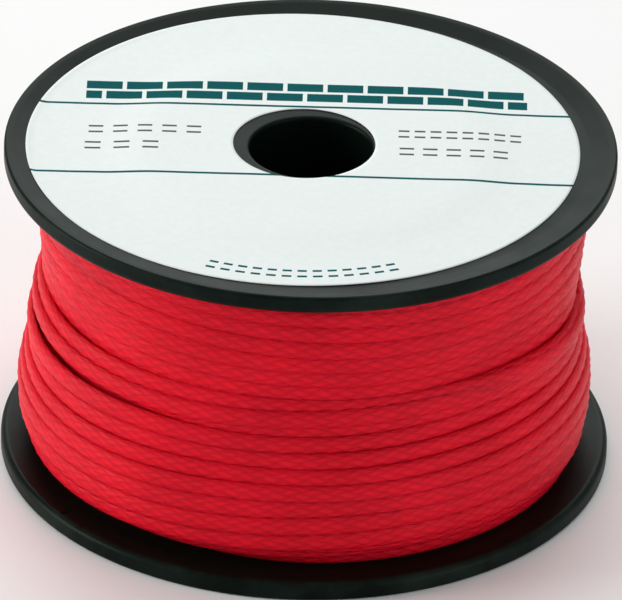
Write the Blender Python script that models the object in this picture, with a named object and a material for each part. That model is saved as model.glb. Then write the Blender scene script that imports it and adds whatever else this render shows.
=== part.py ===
"""Spool of braided mason's line, standing on its lower flange.

Two moulded halves, each a flange with half of the winding barrel and half of
the bore sleeve, plug into each other at mid-height.  Each flange has a raised
rim and a low boss round the bore.  The line is wound between the flanges: its
inner end goes through a hole in the barrel and is stopped by a knot, and its
outer end lies on the winding at the back.  A paper label lies over the boss
and in the recess of the upper flange.

Metres, +Z up.  The origin is the middle of the ring that the spool stands on.
"""
import math

import bmesh
import bpy
from mathutils import Matrix, Vector

# Driving dimensions of the moulded spool
SPOOL_DIAMETER = 0.085
SPOOL_HEIGHT = 0.048
RIM_THICKNESS = 0.0026
RIM_WIDTH = 0.0013
RIM_ROUNDING = 0.0008
OUTER_RECESS = 0.0007
INNER_RECESS = 0.0004
BOSS_DIAMETER = 0.045
BOSS_RISE = 0.0004
BORE_DIAMETER = 0.017
BORE_CHAMFER = 0.0005
SLEEVE_WALL = 0.0017
BARREL_DIAMETER = 0.034
BARREL_WALL = 0.0018
JOINT_OVERLAP = 0.003
JOINT_WALL = 0.001
JOINT_COLLAR_LENGTH = 0.0048
RIB_COUNT = 6
RIB_THICKNESS = 0.0014
RIB_TOP = 0.020
CLEARANCE = 0.0003

# Driving dimensions of the line and of the label
LINE_DIAMETER = 0.0017
ANCHOR_HOLE_DIAMETER = 0.0024
ANCHOR_ANGLE = math.radians(90.0)
ANCHOR_HEIGHT = 0.0049
KNOT_DIAMETER = 0.004
KNOT_HEIGHT = 0.0044
LABEL_DIAMETER = 0.0768
LABEL_HOLE_DIAMETER = 0.0199
LABEL_THICKNESS = 0.00015
LABEL_LIFT = 0.00012
LABEL_CENTRE = Vector((-0.0012, 0.0005, 0.0))
LABEL_BEND_DIAMETERS = (0.0484, 0.060)

TURN_STEPS = 60
ROUNDING_STEPS = 3
OVERLAP = 0.0003

SPOOL_RADIUS = SPOOL_DIAMETER / 2.0
BORE_RADIUS = BORE_DIAMETER / 2.0
BARREL_RADIUS = BARREL_DIAMETER / 2.0
SLEEVE_RADIUS = BORE_RADIUS + SLEEVE_WALL
BARREL_INSIDE = BARREL_RADIUS - BARREL_WALL
BOSS_FACE = OUTER_RECESS - BOSS_RISE
INNER_FACE = RIM_THICKNESS - INNER_RECESS
HALF_END = SPOOL_HEIGHT / 2.0 - CLEARANCE / 2.0

# Outer outline of the winding: radius at each height, fuller towards the lower flange
WINDING_OUTLINE = (
    (0.0390, INNER_FACE + CLEARANCE),
    (0.0398, 0.0060),
    (0.0400, 0.0105),
    (0.0396, 0.0150),
    (0.0388, 0.0186),
    (0.0391, 0.0225),
    (0.0386, 0.0262),
    (0.0376, 0.0295),
    (0.0380, 0.0345),
    (0.0380, 0.0390),
    (0.0374, SPOOL_HEIGHT - INNER_FACE - CLEARANCE),
)

# Outer end of the line, lying on the back of the winding: angle, radius, height
TAIL_ROUTE = (
    (62.0, 0.03995, 0.0275),
    (68.0, 0.04005, 0.0270),
    (76.0, 0.04025, 0.0258),
    (84.0, 0.04040, 0.0240),
    (92.0, 0.04040, 0.0222),
    (99.0, 0.04030, 0.0205),
    (105.0, 0.04020, 0.0188),
    (110.0, 0.04050, 0.0172),
    (114.0, 0.04080, 0.0156),
)
TAIL_STEPS = 4


def clear_scene():
    for old in list(bpy.data.objects):
        bpy.data.objects.remove(old, do_unlink=True)


def finish_material(name, colour, roughness):
    """Principled material with a linear colour and a roughness."""
    made = bpy.data.materials.new(name)
    made.use_nodes = True
    shader = made.node_tree.nodes["Principled BSDF"]
    shader.inputs["Base Color"].default_value = (*colour, 1.0)
    shader.inputs["Roughness"].default_value = roughness
    shader.inputs["Metallic"].default_value = 0.0
    made.diffuse_color = (*colour, 1.0)
    return made


def add_object(name, shape, finish):
    """Put a bmesh into a new object of the scene, with its faces pointing out."""
    bmesh.ops.recalc_face_normals(shape, faces=shape.faces)
    mesh = bpy.data.meshes.new(name)
    shape.to_mesh(mesh)
    shape.free()
    mesh.shade_smooth()
    mesh.set_sharp_from_angle(angle=math.radians(30.0))
    made = bpy.data.objects.new(name, mesh)
    bpy.context.scene.collection.objects.link(made)
    if finish is not None:
        mesh.materials.append(finish)
    return made


def arc(centre_radius, centre_height, radius, start, end):
    """Points of a quarter round in the (radius, height) plane, angles in degrees."""
    points = []
    for step in range(ROUNDING_STEPS + 1):
        angle = math.radians(start + (end - start) * step / ROUNDING_STEPS)
        points.append((centre_radius + radius * math.cos(angle),
                       centre_height + radius * math.sin(angle)))
    return points


def turned_shape(outline):
    """Spin a closed outline of (radius, height) points once round Z."""
    shape = bmesh.new()
    corners = [shape.verts.new((radius, 0.0, height)) for radius, height in outline]
    sides = [shape.edges.new(pair) for pair in zip(corners, corners[1:] + corners[:1])]
    bmesh.ops.spin(shape, geom=corners + sides, cent=(0.0, 0.0, 0.0), axis=(0.0, 0.0, 1.0),
                   angle=2.0 * math.pi, steps=TURN_STEPS, use_merge=True)
    bmesh.ops.remove_doubles(shape, verts=shape.verts, dist=0.000001)
    return shape


def hide_cutter(cutter):
    cutter.hide_render = True
    cutter.display_type = "WIRE"


def combine(target, tool, operation):
    """Live Boolean of target with tool, which the build leaves out."""
    hide_cutter(tool)
    modifier = target.modifiers.new(tool.name, "BOOLEAN")
    modifier.operation = operation
    modifier.solver = "EXACT"
    modifier.object = tool


def flange_outline():
    """Flange from the bore round its rim to the barrel, heights from its outer face."""
    edge = SPOOL_RADIUS - RIM_ROUNDING
    rim_inside = SPOOL_RADIUS - RIM_WIDTH
    outline = [(BORE_RADIUS + BORE_CHAMFER, BOSS_FACE),
               (BOSS_DIAMETER / 2.0 - BOSS_RISE, BOSS_FACE),
               (BOSS_DIAMETER / 2.0, OUTER_RECESS),
               (rim_inside - OUTER_RECESS / 2.0, OUTER_RECESS),
               (rim_inside, 0.0)]
    outline += arc(edge, RIM_ROUNDING, RIM_ROUNDING, -90.0, 0.0)
    outline += arc(edge, RIM_THICKNESS - RIM_ROUNDING, RIM_ROUNDING, 0.0, 90.0)
    outline += [(rim_inside, RIM_THICKNESS),
                (rim_inside - INNER_RECESS / 2.0, INNER_FACE),
                (BARREL_RADIUS, INNER_FACE),
                (BARREL_RADIUS, HALF_END)]
    return outline


def socket_half_outline():
    """Half with plain barrel and sleeve ends."""
    return flange_outline() + [
        (BARREL_INSIDE, HALF_END),
        (BARREL_INSIDE, INNER_FACE),
        (SLEEVE_RADIUS, INNER_FACE),
        (SLEEVE_RADIUS, HALF_END),
        (BORE_RADIUS, HALF_END),
        (BORE_RADIUS, BOSS_FACE + BORE_CHAMFER),
    ]


def spigot_half_outline():
    """Half whose barrel plugs into the other barrel and whose sleeve takes in the other sleeve."""
    tip = HALF_END + JOINT_OVERLAP
    collar = HALF_END - JOINT_COLLAR_LENGTH
    spigot = BARREL_INSIDE - CLEARANCE
    spigot_inside = spigot - JOINT_WALL
    cup = SLEEVE_RADIUS + CLEARANCE
    cup_outside = cup + JOINT_WALL
    return flange_outline() + [
        (spigot, HALF_END),
        (spigot, tip),
        (spigot_inside, tip),
        (spigot_inside, collar),
        (BARREL_INSIDE, collar - JOINT_WALL),
        (BARREL_INSIDE, INNER_FACE),
        (SLEEVE_RADIUS, INNER_FACE),
        (SLEEVE_RADIUS, collar - JOINT_WALL),
        (cup_outside, collar),
        (cup_outside, tip),
        (cup, tip),
        (cup, HALF_END),
        (BORE_RADIUS, HALF_END),
        (BORE_RADIUS, BOSS_FACE + BORE_CHAMFER),
    ]


def rib_tool(name, top, upside_down):
    """Radial ribs between sleeve and barrel, sunk a little into the walls they join."""
    inside = SLEEVE_RADIUS - OVERLAP
    outside = BARREL_INSIDE + OVERLAP
    bottom = INNER_FACE - OVERLAP
    size = Matrix.Diagonal((outside - inside, RIB_THICKNESS, top - bottom, 1.0))
    place = Matrix.Translation(((inside + outside) / 2.0, 0.0, (top + bottom) / 2.0))
    shape = bmesh.new()
    for rib in range(RIB_COUNT):
        turn = Matrix.Rotation(2.0 * math.pi * rib / RIB_COUNT, 4, "Z")
        bmesh.ops.create_cube(shape, size=1.0, matrix=turn @ place @ size)
    if upside_down:
        flip_height(shape)
    return add_object(name, shape, None)


def flip_height(shape):
    """Mirror a shape from the lower half's place to the upper half's."""
    for vertex in shape.verts:
        vertex.co.z = SPOOL_HEIGHT - vertex.co.z


def anchor_direction():
    return Vector((math.cos(ANCHOR_ANGLE), math.sin(ANCHOR_ANGLE), 0.0))


def anchor_point(radius):
    return anchor_direction() * radius + Vector((0.0, 0.0, ANCHOR_HEIGHT))


def make_lower_half(plastic):
    """Socket half, with the hole for the line's inner end through its barrel wall."""
    half = add_object("lower_half", turned_shape(socket_half_outline()), plastic)
    combine(half, rib_tool("lower_rib_tool", RIB_TOP, False), "UNION")
    hole = bmesh.new()
    middle = anchor_point(BARREL_RADIUS - BARREL_WALL / 2.0)
    turn = anchor_direction().to_track_quat("Z", "Y").to_matrix().to_4x4()
    bmesh.ops.create_cone(hole, cap_ends=True, segments=12, radius1=ANCHOR_HOLE_DIAMETER / 2.0,
                          radius2=ANCHOR_HOLE_DIAMETER / 2.0, depth=BARREL_WALL * 2.0,
                          matrix=Matrix.Translation(middle) @ turn)
    combine(half, add_object("anchor_hole_tool", hole, None), "DIFFERENCE")
    return half


def make_upper_half(plastic):
    """Spigot half, the same flange turned over."""
    shape = turned_shape(spigot_half_outline())
    flip_height(shape)
    half = add_object("upper_half", shape, plastic)
    combine(half, rib_tool("upper_rib_tool", HALF_END - JOINT_COLLAR_LENGTH, True), "UNION")
    return half


def make_label(paper):
    """Paper ring on the upper flange, a little off centre, that bends down beside the boss."""
    high = SPOOL_HEIGHT - BOSS_FACE + LABEL_LIFT
    low = high - BOSS_RISE
    bend_start, bend_end = (diameter / 2.0 for diameter in LABEL_BEND_DIAMETERS)
    underside = [(LABEL_HOLE_DIAMETER / 2.0, high), (bend_start, high),
                 (bend_end, low), (LABEL_DIAMETER / 2.0, low)]
    upper_side = [(radius, height + LABEL_THICKNESS) for radius, height in reversed(underside)]
    shape = turned_shape(underside + upper_side)
    bmesh.ops.translate(shape, verts=shape.verts, vec=LABEL_CENTRE)
    return add_object("upper_label", shape, paper)


def make_winding(cord):
    """All turns of the line as one ring, clear of barrel and flanges."""
    inside = BARREL_RADIUS + CLEARANCE
    outline = [(inside, WINDING_OUTLINE[0][1])]
    outline += list(WINDING_OUTLINE)
    outline += [(inside, WINDING_OUTLINE[-1][1])]
    return add_object("line_winding", turned_shape(outline), cord)


def round_tube(name, points, radius, cord):
    """Tube with filled ends along a polyline, as a bevelled curve."""
    curve = bpy.data.curves.new(name, "CURVE")
    curve.dimensions = "3D"
    curve.bevel_depth = radius
    curve.bevel_resolution = 2
    curve.use_fill_caps = True
    spline = curve.splines.new("POLY")
    spline.points.add(len(points) - 1)
    for place, point in zip(spline.points, points):
        place.co = (point.x, point.y, point.z, 1.0)
    curve.materials.append(cord)
    made = bpy.data.objects.new(name, curve)
    bpy.context.scene.collection.objects.link(made)
    return made


def smooth_route(points, steps):
    """Catmull-Rom curve through the points, with the given steps between each two."""
    ends = [points[0] * 2.0 - points[1]] + points + [points[-1] * 2.0 - points[-2]]
    route = []
    for before, start, end, after in zip(ends, ends[1:], ends[2:], ends[3:]):
        for step in range(steps):
            t = step / steps
            route.append(0.5 * (start * 2.0 + (end - before) * t
                                + (before * 2.0 - start * 5.0 + end * 4.0 - after) * t * t
                                + (start * 3.0 - before - end * 3.0 + after) * t * t * t))
    route.append(points[-1])
    return route


def make_line_start(cord):
    """Inner end of the line, through the barrel wall to its knot in the hollow."""
    knot_radius = KNOT_DIAMETER / 2.0
    knot_place = (SLEEVE_RADIUS + BARREL_INSIDE) / 2.0
    outer = BARREL_RADIUS
    inner = knot_place + knot_radius + CLEARANCE
    points = [anchor_point(outer), anchor_point((outer + inner) / 2.0), anchor_point(inner)]
    round_tube("line_start", points, LINE_DIAMETER / 2.0, cord)
    shape = bmesh.new()
    bmesh.ops.create_uvsphere(shape, u_segments=14, v_segments=9, radius=knot_radius)
    bmesh.ops.scale(shape, verts=shape.verts, vec=(1.0, 1.0, KNOT_HEIGHT / KNOT_DIAMETER))
    bmesh.ops.translate(shape, verts=shape.verts, vec=anchor_point(knot_place))
    add_object("start_knot", shape, cord)


def make_line_tail(cord):
    """Outer end of the line, along its route on the back of the winding."""
    points = []
    for degrees, radius, height in TAIL_ROUTE:
        angle = math.radians(degrees)
        points.append(Vector((radius * math.cos(angle), radius * math.sin(angle), height)))
    round_tube("line_tail", smooth_route(points, TAIL_STEPS), LINE_DIAMETER / 2.0, cord)


clear_scene()
black_plastic = finish_material("black_moulded_polystyrene", (0.017, 0.021, 0.019), 0.5)
white_paper = finish_material("white_label_paper", (0.80, 0.83, 0.82), 0.7)
red_cord = finish_material("red_braided_polyethylene", (0.70, 0.010, 0.022), 0.45)
make_lower_half(black_plastic)
make_upper_half(black_plastic)
make_label(white_paper)
make_winding(red_cord)
make_line_start(red_cord)
make_line_tail(red_cord)
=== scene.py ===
"""Spool of braided mason's line: the looks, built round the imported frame.

Two moulded halves, each a flange with half of the core, are pressed together.
The line is knotted inside the core, wound on turn by turn, and ends at the back.
A paper label lies on the upper flange.
"""
import math

import bpy
import mathutils
import numpy as np
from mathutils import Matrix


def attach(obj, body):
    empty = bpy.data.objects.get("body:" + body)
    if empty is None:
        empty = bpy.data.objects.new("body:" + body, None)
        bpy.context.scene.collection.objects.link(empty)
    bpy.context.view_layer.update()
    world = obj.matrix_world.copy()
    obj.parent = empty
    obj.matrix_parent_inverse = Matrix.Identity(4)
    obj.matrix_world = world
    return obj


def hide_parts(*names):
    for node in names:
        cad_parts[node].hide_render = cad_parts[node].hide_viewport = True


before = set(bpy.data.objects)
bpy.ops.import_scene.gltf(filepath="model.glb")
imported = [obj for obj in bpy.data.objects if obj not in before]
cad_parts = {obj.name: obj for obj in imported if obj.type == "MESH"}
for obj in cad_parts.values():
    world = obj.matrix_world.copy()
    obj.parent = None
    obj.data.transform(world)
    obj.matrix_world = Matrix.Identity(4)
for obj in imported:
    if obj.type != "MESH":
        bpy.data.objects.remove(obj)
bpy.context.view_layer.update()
MM = 0.001

# --- Moulded halves of the spool -------------------------------------------------------
# Two injection-moulded shells of black polystyrene, each a dished flange with a rounded rim,
# half of the winding barrel and half of the bore sleeve.  They plug into each other at
# mid-height, and six ribs tie barrel and sleeve together inside the hollow.
SPOOL_RADIUS = 42.5 * MM
SPOOL_HEIGHT = 48.0 * MM
RIM_THICKNESS = 2.6 * MM
RIM_ROUNDING = 0.45 * MM
RIM_INNER_ROUNDING = 0.9 * MM
DISH_FOOT = 38.8 * MM
DISH_TURN = 0.6 * MM
RIM_FOOT = 38.0 * MM
OUTER_FACE = 0.7 * MM
INNER_FACE = 2.2 * MM
BOSS_RADIUS = 22.5 * MM
BOSS_FACE = 0.3 * MM
BORE_RADIUS = 8.5 * MM
BORE_ROUNDING = 0.5 * MM
SLEEVE_RADIUS = 10.2 * MM
BARREL_RADIUS = 17.0 * MM
BARREL_INSIDE = 15.2 * MM
BARREL_FILLET = 0.4 * MM
HALF_END = 23.85 * MM
JOINT_OVERLAP = 3.0 * MM
JOINT_WALL = 1.0 * MM
JOINT_COLLAR = 4.8 * MM
JOINT_GAP = 0.3 * MM
RIB_COUNT = 6
RIB_THICKNESS = 1.4 * MM
RIB_SINK = 0.3 * MM
SOCKET_RIB_TOP = 20.0 * MM
ANCHOR_HEIGHT = 4.9 * MM
ANCHOR_HOLE_RADIUS = 1.2 * MM
ANCHOR_HOLE_SIDES = 32
TURNED_STEPS = 288
LONGEST_STEP = 2.5 * MM
EDGE_MARGIN = 0.12 * MM
NICK_COLUMNS = np.linspace(-1.2, 1.2, 9)
NICK_SLANT = 0.3
NICKS = (  # marks on the lower rim: angle in degrees, radius, height, reach and depth
    (216.9, 41.15 * MM, 2.55 * MM, 0.50 * MM, 0.35 * MM),
    (313.7, 42.00 * MM, 2.60 * MM, 0.60 * MM, 0.12 * MM),
)


def arc(centre, radius, start, end, steps):
    """Round corner: centre plus radius times (cosine, sine) of evenly spaced angles in degrees."""
    angles = np.radians(np.linspace(start, end, steps + 1))
    return [(centre[0] + radius * math.cos(a), centre[1] + radius * math.sin(a)) for a in angles]


def split_runs(outline):
    """Closed outline whose long straight runs get equal steps, and a short one at each end."""
    points = []
    for start, end in zip(outline, outline[1:] + outline[:1]):
        length = math.dist(start, end)
        steps = math.ceil(length / LONGEST_STEP)
        shares = np.arange(steps) * (1.0 / max(1, steps))
        if length > 4.0 * EDGE_MARGIN:
            shares = np.concatenate([[0.0, EDGE_MARGIN / length], shares[1:], [1.0 - EDGE_MARGIN / length]])
        points.append(np.array(start) + (np.array(end) - np.array(start)) * shares[:, None])
    return np.concatenate(points)


def mesh_object(name, vertices, faces, material, loop_uv=None):
    """Smooth-shaded object at the origin from arrays of vertices and of equal-sided faces."""
    sides = faces.shape[1]
    mesh = bpy.data.meshes.new(name)
    mesh.vertices.add(len(vertices))
    mesh.vertices.foreach_set("co", vertices.astype(np.float32).ravel())
    mesh.loops.add(faces.size)
    mesh.loops.foreach_set("vertex_index", faces.astype(np.int32).ravel())
    mesh.polygons.add(len(faces))
    mesh.polygons.foreach_set("loop_start", np.arange(0, faces.size, sides, dtype=np.int32))
    if loop_uv is not None:
        layer = mesh.uv_layers.new(name="along_and_round")
        layer.data.foreach_set("uv", loop_uv.astype(np.float32).ravel())
    mesh.update(calc_edges=True)
    mesh.shade_smooth()
    mesh.materials.append(material)
    made = bpy.data.objects.new(name, mesh)
    bpy.context.scene.collection.objects.link(made)
    return made


def ring_faces(rows, columns):
    """Faces of a grid that closes in both directions, as rows of four vertex numbers."""
    row = np.arange(rows)[:, None]
    column = np.arange(columns)[None, :]
    after_row = (row + 1) % rows
    after_column = (column + 1) % columns
    corners = np.broadcast_arrays(row * columns + column, row * columns + after_column,
                                  after_row * columns + after_column, after_row * columns + column)
    return np.stack(corners, axis=-1).reshape(-1, 4)


def flange_outline():
    """Flange from the bore's edge round the rim to the barrel, heights from its outer face.

    The outer face steps down from the low boss, runs level, and rises as a shallow cone from the
    dish's foot to the rim.  The inner face falls as a shallower cone from the rim to its foot.
    """
    edge = SPOOL_RADIUS - RIM_ROUNDING
    inner_edge = SPOOL_RADIUS - RIM_INNER_ROUNDING
    outline = arc((BORE_RADIUS + BORE_ROUNDING, BOSS_FACE + BORE_ROUNDING), BORE_ROUNDING, 180, 270, 5)
    step = OUTER_FACE - BOSS_FACE
    outline += arc((BOSS_RADIUS - step, BOSS_FACE + step / 2), step / 2, 270, 315, 3)
    outline += arc((BOSS_RADIUS + step / 3, OUTER_FACE - step / 2), step / 2, 135, 90, 3)
    outline += [(DISH_FOOT - DISH_TURN, OUTER_FACE), (DISH_FOOT, 0.95 * OUTER_FACE),
                (edge - DISH_TURN, 0.1 * OUTER_FACE)]
    outline += arc((edge, RIM_ROUNDING), RIM_ROUNDING, 270, 360, 9)
    outline += arc((inner_edge, RIM_THICKNESS - RIM_INNER_ROUNDING), RIM_INNER_ROUNDING, 0, 90, 9)
    outline += [(RIM_FOOT, INNER_FACE)]
    outline += arc((BARREL_RADIUS + BARREL_FILLET, INNER_FACE + BARREL_FILLET), BARREL_FILLET, 270, 180, 4)
    return outline + [(BARREL_RADIUS, HALF_END)]


def socket_end():
    """Rest of the lower half: plain barrel and sleeve ends, and the hollow between them."""
    return [(BARREL_INSIDE, HALF_END), (BARREL_INSIDE, INNER_FACE), (SLEEVE_RADIUS, INNER_FACE),
            (SLEEVE_RADIUS, HALF_END), (BORE_RADIUS, HALF_END)]


def spigot_end():
    """Rest of the upper half: a barrel spigot and a sleeve cup that reach past mid-height."""
    tip = HALF_END + JOINT_OVERLAP
    collar = HALF_END - JOINT_COLLAR
    spigot = BARREL_INSIDE - JOINT_GAP
    cup = SLEEVE_RADIUS + JOINT_GAP
    return [(spigot, HALF_END), (spigot, tip), (spigot - JOINT_WALL, tip),
            (spigot - JOINT_WALL, collar), (BARREL_INSIDE, collar - JOINT_WALL),
            (BARREL_INSIDE, INNER_FACE), (SLEEVE_RADIUS, INNER_FACE),
            (SLEEVE_RADIUS, collar - JOINT_WALL), (cup + JOINT_WALL, collar),
            (cup + JOINT_WALL, tip), (cup, tip), (cup, HALF_END), (BORE_RADIUS, HALF_END)]


def turned_piece(name, outline, material, turned_over):
    """Outline of (radius, height) spun round Z: x and y are radius times cosine and sine.

    The angles crowd together near the nicks.  A nick moves the points inside its reach down and a
    little outwards, by its depth times one minus the squared share of the reach.
    """
    profile = split_runs(outline)
    angles = np.arange(TURNED_STEPS) * (2.0 * math.pi / TURNED_STEPS)
    if not turned_over:
        angles = np.concatenate([angles] + [math.radians(n[0]) + NICK_COLUMNS * n[3] / n[1] for n in NICKS])
        angles = np.unique(angles.round(5))
    radius = profile[:, 0][:, None]
    points = np.stack(np.broadcast_arrays(radius * np.cos(angles), radius * np.sin(angles),
                                          profile[:, 1][:, None]), axis=-1)
    if turned_over:
        points[..., 2] = SPOOL_HEIGHT - points[..., 2]
        points = points[::-1]
    else:
        for degrees, nick_radius, height, reach, depth in NICKS:
            turn = math.radians(degrees)
            outward = np.array((math.cos(turn), math.sin(turn), 0.0))
            centre = outward * nick_radius + np.array((0.0, 0.0, height))
            share = np.linalg.norm(points - centre, axis=-1, keepdims=True) / reach
            points += (outward * NICK_SLANT - np.array((0, 0, 1.0))) * depth * np.clip(1.0 - share ** 2, 0, 1)
    rows, columns = points.shape[:2]
    return mesh_object(name, points.reshape(-1, 3), ring_faces(rows, columns), material)


def box_between(low, high, turn):
    """Eight corners of a box from low to high, turned round Z, in a fixed order."""
    corners = np.array([(x, y, z) for x in (low[0], high[0]) for y in (low[1], high[1])
                        for z in (low[2], high[2])])
    cosine, sine = math.cos(turn), math.sin(turn)
    return corners @ np.array(((cosine, sine, 0), (-sine, cosine, 0), (0, 0, 1)))


def cut_or_join(piece, tool, operation):
    """Apply an exact Boolean of piece with tool, and take the tool away."""
    change = piece.modifiers.new(operation, "BOOLEAN")
    change.operation = operation
    change.solver = "EXACT"
    change.object = tool
    finished = bpy.data.meshes.new_from_object(
        piece.evaluated_get(bpy.context.evaluated_depsgraph_get()))
    piece.modifiers.clear()
    piece.data = finished
    bpy.data.objects.remove(tool, do_unlink=True)


def add_ribs(half, low, high, material):
    """Join the radial ribs between sleeve and barrel, six equal boxes round the bore."""
    box_faces = np.array(((0, 1, 3, 2), (4, 6, 7, 5), (0, 4, 5, 1), (2, 3, 7, 6), (0, 2, 6, 4), (1, 5, 7, 3)))
    boxes = [box_between((SLEEVE_RADIUS - RIB_SINK, -RIB_THICKNESS / 2, low),
                         (BARREL_INSIDE + RIB_SINK, RIB_THICKNESS / 2, high),
                         2.0 * math.pi * rib / RIB_COUNT) for rib in range(RIB_COUNT)]
    faces = np.concatenate([box_faces + 8 * rib for rib in range(RIB_COUNT)])
    cut_or_join(half, mesh_object("ribs", np.concatenate(boxes), faces, material), "UNION")


def anchor_hole():
    """Cylinder along Y through the back of the barrel wall: two rings of points and a face each."""
    angles = np.arange(ANCHOR_HOLE_SIDES) * (2.0 * math.pi / ANCHOR_HOLE_SIDES)
    ring = np.stack([ANCHOR_HOLE_RADIUS * np.cos(angles), np.zeros(ANCHOR_HOLE_SIDES),
                     ANCHOR_HEIGHT + ANCHOR_HOLE_RADIUS * np.sin(angles)], axis=-1)
    near = ring + np.array((0.0, BARREL_INSIDE - MM, 0.0))
    far = ring + np.array((0.0, BARREL_RADIUS + MM, 0.0))
    first = np.arange(ANCHOR_HOLE_SIDES)
    after = (first + 1) % ANCHOR_HOLE_SIDES
    side = np.stack([first, after, after + ANCHOR_HOLE_SIDES, first + ANCHOR_HOLE_SIDES], axis=-1)
    ends = [first[::-1].tolist(), (first + ANCHOR_HOLE_SIDES).tolist()]
    mesh = bpy.data.meshes.new("anchor_hole_tool")
    mesh.from_pydata(np.concatenate([near, far]).tolist(), [], side.tolist() + ends)
    tool = bpy.data.objects.new("anchor_hole_tool", mesh)
    bpy.context.scene.collection.objects.link(tool)
    return tool


def linear(hex_colour):
    """Linear RGBA from an sRGB hex string, by the sRGB transfer curve."""
    shares = [int(hex_colour[i:i + 2], 16) / 255.0 for i in (1, 3, 5)]
    return (*[s / 12.92 if s <= 0.04045 else ((s + 0.055) / 1.055) ** 2.4 for s in shares], 1.0)


def add_node(tree, kind, inputs=None, **settings):
    """Add a node, set its properties, and give each input a value or a link.

    A link comes from a socket, or from a node, which then stands for its first output.
    """
    made = tree.nodes.new(kind)
    for name, value in settings.items():
        setattr(made, name, value)
    for name, value in (inputs or {}).items():
        if isinstance(value, bpy.types.Node):
            value = value.outputs[0]
        if isinstance(value, bpy.types.NodeSocket):
            tree.links.new(value, made.inputs[name])
        else:
            made.inputs[name].default_value = value
    return made


def new_material(name):
    """Empty node material with its tree and its Principled shader."""
    made = bpy.data.materials.new(name)
    made.use_nodes = True
    return made, made.node_tree, made.node_tree.nodes["Principled BSDF"]


def black_moulded_polystyrene():
    """Black polystyrene, injection moulded: even deep black-green with a satin skin.

    The eye gets a fine orange-peel skin with a finer grit in it, upright drag marks on the rim's
    side, and rubbed and slightly greyer edges.
    """
    made, tree, shader = new_material("black_moulded_polystyrene")
    place = add_node(tree, "ShaderNodeTexCoord").outputs["Object"]
    axes = add_node(tree, "ShaderNodeSeparateXYZ", {0: place})
    flat = add_node(tree, "ShaderNodeCombineXYZ", {0: axes.outputs[0], 1: axes.outputs[1]})
    radius = add_node(tree, "ShaderNodeVectorMath", {0: flat}, operation="LENGTH").outputs["Value"]
    peel = add_node(tree, "ShaderNodeTexNoise", {"Vector": place, "Scale": 1.0 / (0.9 * MM), "Detail": 2.0})
    grit = add_node(tree, "ShaderNodeTexNoise", {"Vector": place, "Scale": 1.0 / (0.22 * MM), "Detail": 2.0})
    cloud = add_node(tree, "ShaderNodeTexNoise", {"Vector": place, "Scale": 1.0 / (14 * MM), "Detail": 4.0,
                                                  "Roughness": 0.62})
    angle = add_node(tree, "ShaderNodeMath", {0: axes.outputs[1], 1: axes.outputs[0]}, operation="ARCTAN2")
    drag_place = add_node(tree, "ShaderNodeCombineXYZ", {0: angle, 1: axes.outputs[2]})
    # upright drag marks, 0.5 mm apart round the rim and 6 mm long
    drag_size = add_node(tree, "ShaderNodeMapping", {"Vector": drag_place,
                                                     "Scale": (85.0, 1.0 / (6 * MM), 1.0)})
    drag = add_node(tree, "ShaderNodeTexNoise", {"Vector": drag_size, "Scale": 1.0, "Detail": 3.0,
                                                 "Roughness": 0.7})
    on_side = add_node(tree, "ShaderNodeMapRange", {"Value": radius, "From Min": 41.9 * MM,
                                                    "From Max": 42.45 * MM})
    drag_depth = add_node(tree, "ShaderNodeMath", {0: drag.outputs["Fac"], 1: on_side}, operation="MULTIPLY")
    relief = add_node(tree, "ShaderNodeMath", {0: peel.outputs["Fac"], 1: 0.5, 2: grit.outputs["Fac"]},
                      operation="MULTIPLY_ADD")
    relief = add_node(tree, "ShaderNodeMath", {0: drag_depth, 1: 2.2, 2: relief}, operation="MULTIPLY_ADD")
    bump = add_node(tree, "ShaderNodeBump", {"Strength": 0.35, "Distance": 0.05 * MM, "Height": relief})
    # rubbed edges: the rim's crown, where the spool is handled and stacked
    crown = add_node(tree, "ShaderNodeMapRange", {"Value": radius, "From Min": 41.1 * MM,
                                                  "From Max": 41.9 * MM})
    worn = add_node(tree, "ShaderNodeMapRange", {"Value": cloud.outputs["Fac"], "From Min": 0.42,
                                                 "From Max": 0.66})
    wear = add_node(tree, "ShaderNodeMath", {0: crown, 1: worn}, operation="MULTIPLY")
    colour = add_node(tree, "ShaderNodeMix", {0: wear, 6: linear("#07100c"), 7: linear("#1a2520")},
                      data_type="RGBA")
    rough = add_node(tree, "ShaderNodeMapRange", {"Value": cloud.outputs["Fac"], "From Min": 0.3,
                                                  "From Max": 0.7, "To Min": 0.36, "To Max": 0.48})
    tree.links.new(colour.outputs[2], shader.inputs["Base Color"])
    tree.links.new(rough.outputs[0], shader.inputs["Roughness"])
    tree.links.new(bump.outputs[0], shader.inputs["Normal"])
    shader.inputs["IOR"].default_value = 1.59
    shader.inputs["Specular IOR Level"].default_value = 0.06
    shader.inputs["Specular Tint"].default_value = (0.84, 1.0, 0.92, 1.0)
    return made


spool_plastic = black_moulded_polystyrene()
lower_half = turned_piece("lower_flange_and_core", flange_outline() + socket_end(), spool_plastic, False)
add_ribs(lower_half, INNER_FACE - RIB_SINK, SOCKET_RIB_TOP, spool_plastic)
cut_or_join(lower_half, anchor_hole(), "DIFFERENCE")
upper_half = turned_piece("upper_flange_and_core", flange_outline() + spigot_end(), spool_plastic, True)
add_ribs(upper_half, SPOOL_HEIGHT - HALF_END + JOINT_COLLAR, SPOOL_HEIGHT - INNER_FACE + RIB_SINK,
         spool_plastic)
for half, node in ((lower_half, "lower_half"), (upper_half, "upper_half")):
    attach(half, "root")
    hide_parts(node)

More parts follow.
